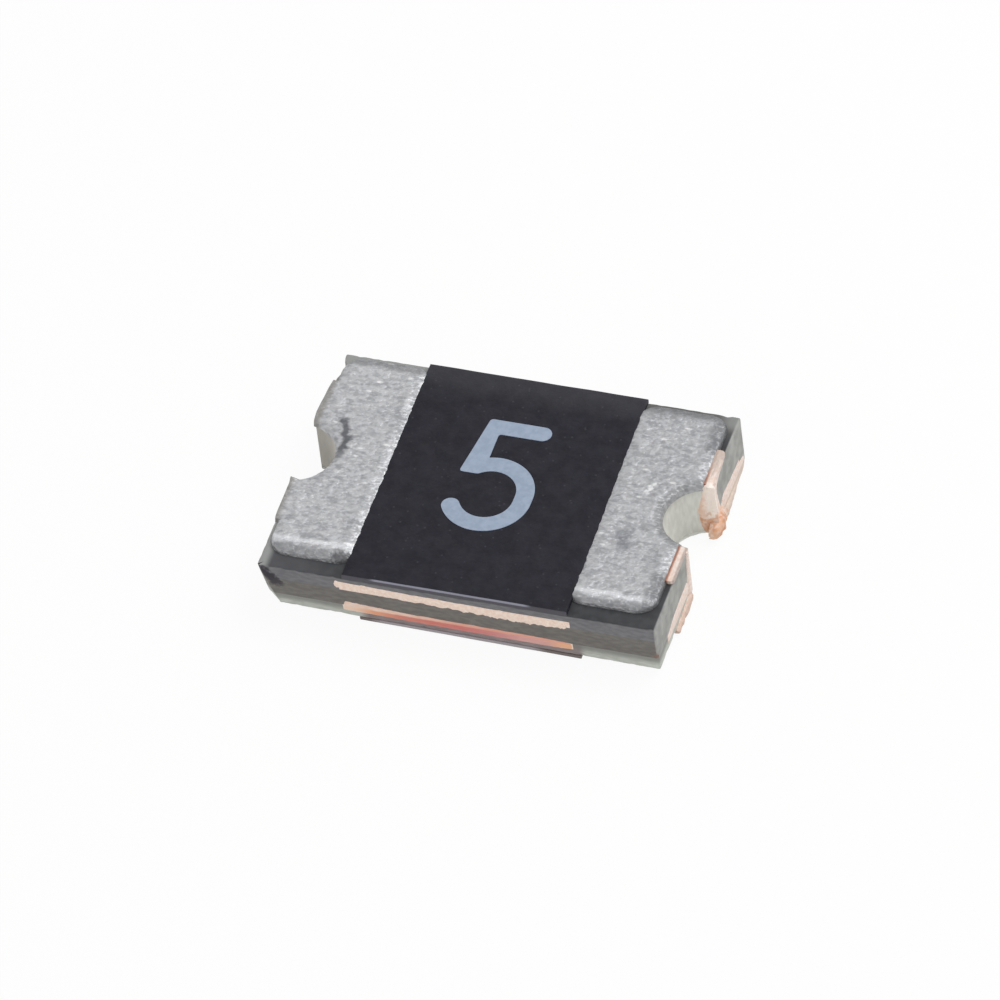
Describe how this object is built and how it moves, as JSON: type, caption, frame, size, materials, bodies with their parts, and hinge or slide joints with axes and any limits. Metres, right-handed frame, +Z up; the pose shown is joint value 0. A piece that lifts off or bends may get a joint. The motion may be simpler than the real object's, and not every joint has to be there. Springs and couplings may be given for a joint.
{
  "type": "resettable fuse",
  "caption": "Flat surface-mount resettable fuse: a sawn laminate chip with tinned end pads, half-round plated end notches and a black coat between the pads.",
  "frame": {"origin": "middle of the sawn outline, on the plane that the bottom pads rest on", "axes": "+X along the length towards the end that the lower foil joins, +Y across the width, +Z up out of the marked face"},
  "size_m": [0.0034, 0.0024, 0.0006],
  "materials": {
    "core_polymer": "sawn, dull",
    "foil_copper": null,
    "upper_glass_epoxy": "sawn, dull",
    "lower_glass_epoxy": "sawn, dull",
    "terminal_copper": null,
    "tin": null,
    "solder_mask": "matte coat",
    "ink": "matte print"
  },
  "bodies": {
    "root": {"ptc_core": "core_polymer", "upper_foil": "foil_copper", "lower_foil": "foil_copper", "upper_prepreg": "upper_glass_epoxy", "lower_prepreg": "lower_glass_epoxy", "left_terminal": "terminal_copper", "right_terminal": "terminal_copper", "left_tin": "tin", "right_tin": "tin", "upper_mask": "solder_mask", "lower_mask": "solder_mask", "rating_mark": "ink"}
  },
  "joints": []
}
